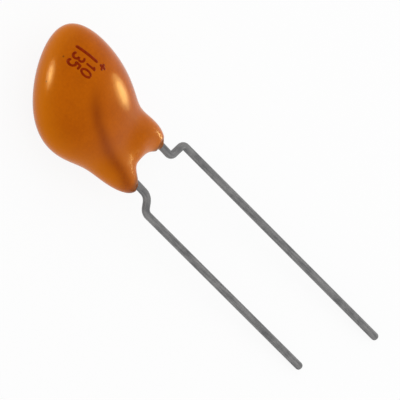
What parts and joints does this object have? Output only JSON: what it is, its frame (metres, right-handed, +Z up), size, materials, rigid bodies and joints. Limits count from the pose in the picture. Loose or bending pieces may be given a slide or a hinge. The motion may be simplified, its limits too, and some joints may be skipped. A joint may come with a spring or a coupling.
{
  "type": "tantalum capacitor",
  "caption": "Dipped radial tantalum capacitor: a glossy orange epoxy drop over a sintered pellet, with formed wire leads that solder into a circuit board.",
  "frame": {"origin": "on the floor, under the middle of the part's box, as it lies at rest on its belly and both lead tips", "axes": "+X along the leads towards their tips, +Y towards the positive lead, +Z up, out of the printed face"},
  "size_m": [0.0308, 0.0074, 0.0046],
  "materials": {
    "epoxy": "glossy dipped epoxy",
    "tinned_wire": "dull tinned wire",
    "sintered_metal": "matt sintered powder",
    "conductive_paint": "matt silver paint",
    "riser_metal": "drawn wire",
    "washer_plastic": "matt",
    "solder": "satin"
  },
  "bodies": {
    "root": {"epoxy_coat": "epoxy", "anode_pellet": "sintered_metal", "cathode_layer": "conductive_paint", "riser_wire": "riser_metal", "riser_washer": "washer_plastic", "cathode_solder": "solder", "positive_lead": "tinned_wire", "negative_lead": "tinned_wire"}
  },
  "joints": []
}
